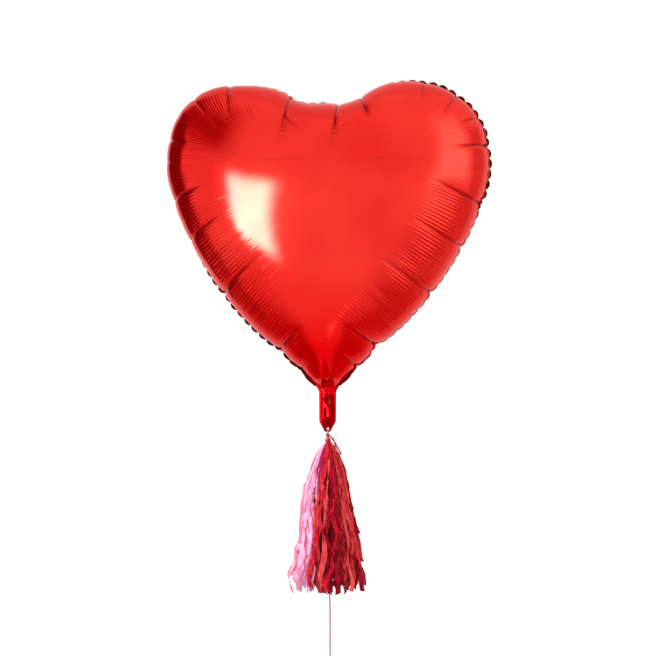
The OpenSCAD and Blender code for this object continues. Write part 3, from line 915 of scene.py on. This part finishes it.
def makeStrips(name, node, paper, slotName, start, stop, layers, seed, upperReach, reach, sides):
    # each strip is a grid: its middle line hangs down the fringe's profile, and its section is turned, cupped
    # and creased by zigzags
    rng = np.random.default_rng(seed)
    gap = strips["gap"] / min(reach, 0.9) ** 2
    perLayer = max(2, round((stop - start) / gap))
    count = perLayer * layers
    order = np.arange(count)
    layer = order // perLayer
    angle = start + (order % perLayer + 0.5 + 0.5 * (layer % 2)) * (stop - start) / (perLayer + 0.5)
    angle = np.radians(angle + rng.uniform(-1.5, 1.5, count))
    u = np.linspace(0, 1, strips["along"])
    v = np.linspace(-0.5, 0.5, strips["across"])
    top = -23 * mm
    shortShare = 0.2 if layers > 1 else 0
    short = np.where(rng.uniform(0, 1, count) < shortShare, rng.uniform(0.55, 0.88, count), 1)
    bottom = top - strips["length"] * rng.uniform(0.93, 1.0, count) * np.where(layer == 0, short, 1)
    z = top + (bottom - top)[:, None] * u[None]
    radius = np.interp(-z.ravel() / mm, -fringeProfile[:, 0], fringeProfile[:, 1]).reshape(z.shape) * mm
    scale = reach - 0.16 * layer + rng.uniform(-0.08, 0.03, count)
    flare = rng.uniform(-0.3, 0.12, count)
    swap = (upperReach - reach) * (1 - smooth(0.12, 0.4, u))
    radius = radius * (scale[:, None] + swap[None] + flare[:, None] * u[None] ** 3)
    loose = smooth(0.04, 0.4, u)[None]
    radius = radius + softNoise(rng, count, u, (1.1, 2.3, 4.7), 3.4 * mm, True) * loose
    drift = np.interp(np.degrees(angle), (start, stop), np.radians(sides))
    sway = softNoise(rng, count, u, (0.6, 1.7, 3.9), 0.13, True) * loose * (0.8 + 0.6 * u[None] ** 2)
    theta = angle[:, None] + drift[:, None] * u[None] ** 1.1 + sway
    middle = np.stack([radius * np.sin(theta), -radius * np.cos(theta), z], axis=-1)
    twist = softNoise(rng, count, u, (0.5, 1.1, 2.3), 0.95) * smooth(0.0, 0.3, u)[None]
    twist = twist + rng.uniform(-1, 1, (count, 1)) * u[None] ** 2
    tangential = np.stack([np.cos(theta), np.sin(theta), np.zeros_like(theta)], axis=-1)
    radial = np.stack([np.sin(theta), -np.cos(theta), np.zeros_like(theta)], axis=-1)
    c, s = np.cos(twist)[..., None], np.sin(twist)[..., None]
    across = c * tangential + s * radial
    outward = -s * tangential + c * radial
    width = strips["width"] * mix(0.2, 1.0, smooth(0.0, 0.2, u))[None] * rng.uniform(0.8, 1.12, (count, 1))
    width = width * (1 - 0.25 * np.abs(softNoise(rng, count, u, (3.1, 6.7), 1.0, True)))
    points = middle[:, :, None] + across[:, :, None] * (width[..., None] * v[None, None])[..., None]
    lift = stripCreases(rng, count, u, v)
    points = points + outward[:, :, None] * (lift * mix(0.2, 1.0, loose)[..., None])[..., None]
    slope = rng.uniform(-0.5, 0.5, (count, 1, 1)) * strips["width"]
    points[..., 2] += slope * v[None, None] * (u[None, :, None] ** 8)
    outside = np.hypot(points[..., 0], points[..., 1])
    least = np.maximum(7.5 * mm * smooth(0.0, 0.08, u)[None, :, None], outside)
    points[..., :2] *= (least / np.maximum(outside, 1e-6))[..., None]
    number = np.arange(count * len(u) * len(v)).reshape(count, len(u), len(v))
    faces = np.concatenate([gridFaces(number[k], flip=True) for k in range(count)])
    uv = np.stack(np.broadcast_arrays(
        v[None, None] * strips["width"] + order[:, None, None] * 0.05,
        u[None, :, None] * strips["length"]), axis=-1)
    # random tone per strip, with painted shade: the inner layer is drawn darker
    toneAndShade = np.clip(rng.normal(0.42, 0.28, count) - 0.22 * layer, 0, 1)
    piece = makeMesh(name, points, faces, uv, {"toneAndShade": np.broadcast_to(toneAndShade[:, None, None], lift.shape)},
                     shadeSmooth=False)
    addSolidify(piece, strips["wall"])
    finishPiece(piece, "tassel", slotName, tissue[paper], node)


def makeTop(name, node, paper, slotName, start, stop, seed):
    # the gathered upper end: a waist that widens downwards, with pleats that turn as they go down
    rng = np.random.default_rng(seed)
    theta = np.radians(np.linspace(start, stop, 90))[:, None]
    u = np.linspace(0, 1, 34)[None]
    z = mix(-17.2, -50.0, u) * mm
    base = (5.6 + 0.6 * np.sin(9 * u) + 18.5 * smooth(0.16, 1.25, u)) * mm
    pleat = np.zeros(np.broadcast_shapes(theta.shape, u.shape))
    for number, size in ((7, 0.09), (11, 0.08), (17, 0.05)):
        turn = rng.uniform(0, 6.28)
        lean = rng.uniform(0.4, 1.2)
        pleat = pleat + size * (1 - 2 * np.abs(np.sin(number * theta / 2 + turn + 1.6 * u * lean)))
    radius = base * (1 + pleat * (0.5 + 1.1 * u))
    radius = np.maximum(radius, 3.6 * mm)
    points = np.stack(np.broadcast_arrays(radius * np.sin(theta), -radius * np.cos(theta), z), axis=-1)
    uv = np.stack(np.broadcast_arrays(theta * 12 * mm, z), axis=-1)
    # painted shade and light: the pleats' hollows are drawn darker and their ridges lighter
    toneAndShade = np.clip(0.45 + pleat * 1.6, 0, 1)
    piece = makeMesh(name, points, gridFaces(np.arange(points[..., 0].size).reshape(points.shape[:2]), True),
                     uv, {"toneAndShade": toneAndShade})
    addSolidify(piece, strips["wall"])
    finishPiece(piece, "tassel", slotName, tissue[paper], node)


for row in sheets:
    makeStrips(*row)
makeTop("pink_gathered_top", "pink_twisted_top", "pink", "pink_tissue", -182, -20, 21)
makeTop("red_gathered_top", "red_twisted_top", "red", "red_tissue", -22, 180, 22)


def makeTasselTie():
    low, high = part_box("tassel_tie")
    centre = np.array((low + high) / 2)
    rings = []
    for i, (rise, tilt) in enumerate(((0.5, 4), (-0.6, -5))):
        path, axis = circleAt(centre + [0, 0, rise * mm], 7.3 * mm, math.radians(tilt), 0.6 + i, dent=0.03)
        rings.append(ribbonAlong(f"tassel_tie_{i}", path, axis, 2 * mm, 0.5 * mm, closed=True, cup=-0.1 * mm))
    finishPiece(joinPieces("tassel_tie_turns", rings), "tassel", "ribbon", ribbonRed, "tassel_tie")


makeTasselTie()
print("tassel ready")


studio = {
    "floorDrop": 0.25,
    # from and to round from the front towards the right, from and to above level, softness, all in degrees,
    # brightness, and lean: how many degrees the sides move round for each degree of height
    "panels": [
        (-135, -48, -90, -30, 34, 0.55, 0),    # floor on the left
        (34, 135, -90, -22, 30, 0.64, 0),      # floor on the right
        (-125, -40, 24, 60, 28, 0.42, 0),      # dark upper left
        (-84, -50, -24, 20, 12, 1.0, 0),       # wall beside the window
        (-130, -87, -26, 34, 10, 0.24, 0),     # dark flag on the left
        (44, 82, -4, 46, 14, 2.6, 0),          # broad light on the right
        (92, 128, -40, 30, 12, 0.76, 0),       # wall on the far right
        (132, 228, -90, 90, 10, 0.86, 0),      # white backdrop
        (-44, -23, -14, 12.5, 8, 30.0, 0.35),  # window light on the left
        (2, 8, -54, -48, 4, 5.0, 0),           # small lamp low in front
    ],
}


def panelMask(tree, value, low, high, soft):
    # 1 between low and high, falling smoothly to 0 over the soft width outside
    up = addNode(tree, "ShaderNodeMapRange", interpolation_type="SMOOTHSTEP", clamp=True)
    down = addNode(tree, "ShaderNodeMapRange", interpolation_type="SMOOTHSTEP", clamp=True)
    for node, a, b in ((up, low - soft / 2, low + soft / 2), (down, high + soft / 2, high - soft / 2)):
        tree.links.new(value, node.inputs["Value"])
        node.inputs["From Min"].default_value = a
        node.inputs["From Max"].default_value = b
    return mathNode(tree, "MULTIPLY", up.outputs["Result"], down.outputs["Result"])


def mixShaders(tree, share, a, b):
    node = addNode(tree, "ShaderNodeMixShader")
    for socket, value in zip(node.inputs, (share, a.outputs[0], b.outputs[0])):
        tree.links.new(value, socket)
    return node


def makeWorld():
    # a plain pale room for the camera and matt surfaces, and soft panels for what mirrors
    world = bpy.data.worlds.new("Studio")
    bpy.context.scene.world = world
    world.use_nodes = True
    tree = world.node_tree
    tree.nodes.clear()
    direction = addNode(tree, "ShaderNodeTexCoord").outputs["Generated"]
    parts = addNode(tree, "ShaderNodeSeparateXYZ")
    tree.links.new(direction, parts.inputs["Vector"])
    minusY = mathNode(tree, "MULTIPLY", parts.outputs["Y"], -1.0)
    azimuth = mathNode(tree, "ARCTAN2", parts.outputs["X"], minusY)
    azimuth = mathNode(tree, "MULTIPLY", azimuth, 180 / math.pi)
    behind = mathNode(tree, "LESS_THAN", azimuth, 0.0)
    wrapped = mathNode(tree, "MULTIPLY_ADD", behind, 360.0, azimuth)     # 0 to 360 degrees
    elevation = mathNode(tree, "MULTIPLY", mathNode(tree, "ARCSINE", parts.outputs["Z"]), 180 / math.pi)
    bright = 1.0
    for left, right, low, high, soft, level, lean in studio["panels"]:
        around = wrapped if right > 180 else azimuth
        if lean:
            around = mathNode(tree, "SUBTRACT", around, mathNode(tree, "MULTIPLY", elevation, lean))
        share = mathNode(tree, "MULTIPLY", panelMask(tree, elevation, low, high, soft),
                         panelMask(tree, around, left, right, soft))
        node = addNode(tree, "ShaderNodeMix", data_type="FLOAT")
        tree.links.new(share, node.inputs["Factor"])
        if isinstance(bright, float):
            node.inputs[2].default_value = bright
        else:
            tree.links.new(bright, node.inputs[2])
        node.inputs[3].default_value = level
        bright = node.outputs[0]
    # the dimmer parts of the room take the balloon's own red
    hue = mixColours(tree, spreadValue(tree, bright, 0.52, 0.92, 0, 1), (1.0, 0.15, 0.2), (1.0, 1.0, 1.0))
    reflected = addNode(tree, "ShaderNodeBackground")
    tree.links.new(hue, reflected.inputs["Color"])
    tree.links.new(bright, reflected.inputs["Strength"])
    plain = addNode(tree, "ShaderNodeBackground", Color=(1, 1, 1, 1), Strength=0.5)
    seen = addNode(tree, "ShaderNodeBackground", Color=(1, 1, 1, 1), Strength=1.05)
    ray = addNode(tree, "ShaderNodeLightPath")
    lit = mixShaders(tree, ray.outputs["Is Glossy Ray"], plain, reflected)
    whole = mixShaders(tree, ray.outputs["Is Camera Ray"], lit, seen)
    output = addNode(tree, "ShaderNodeOutputWorld")
    tree.links.new(whole.outputs[0], output.inputs["Surface"])


def addAreaLight(name, place, target, size, power):
    lamp = bpy.data.lights.new(name, "AREA")
    lamp.shape = "SQUARE"
    lamp.size = size
    lamp.energy = power
    light = bpy.data.objects.new(name, lamp)
    light.location = place
    away = np.array(place) - np.array(target)
    flat = math.hypot(away[0], away[1])
    light.rotation_euler = (math.atan2(flat, away[2]), 0, math.atan2(away[0], -away[1]))
    light.visible_glossy = False
    bpy.context.scene.collection.objects.link(light)


def makeFloor():
    half = 6.0
    z = cadLow.z - studio["floorDrop"]
    corners = np.array([[(-half, -half, z), (-half, half, z)], [(half, -half, z), (half, half, z)]])
    piece = makeMesh("studio_floor", corners, gridFaces(np.arange(4).reshape(2, 2)))
    material, _, shader = newMaterial("Pale floor", (0.9, 0.9, 0.9), 0.0, 0.8)
    shader.inputs["Emission Color"].default_value = (1, 1, 1, 1)
    shader.inputs["Emission Strength"].default_value = 0.6
    piece.data.materials.append(material)
    piece.visible_glossy = False
    piece.visible_diffuse = False


makeWorld()
addAreaLight("Key", (-2.2, -2.2, 1.1), (0, 0, -0.2), 0.9, 85)
addAreaLight("Fill", (2.2, -2.0, 0.6), (0, 0, -0.2), 1.6, 38)
makeFloor()
bpy.context.scene.view_settings.view_transform = "Standard"
print("studio ready")
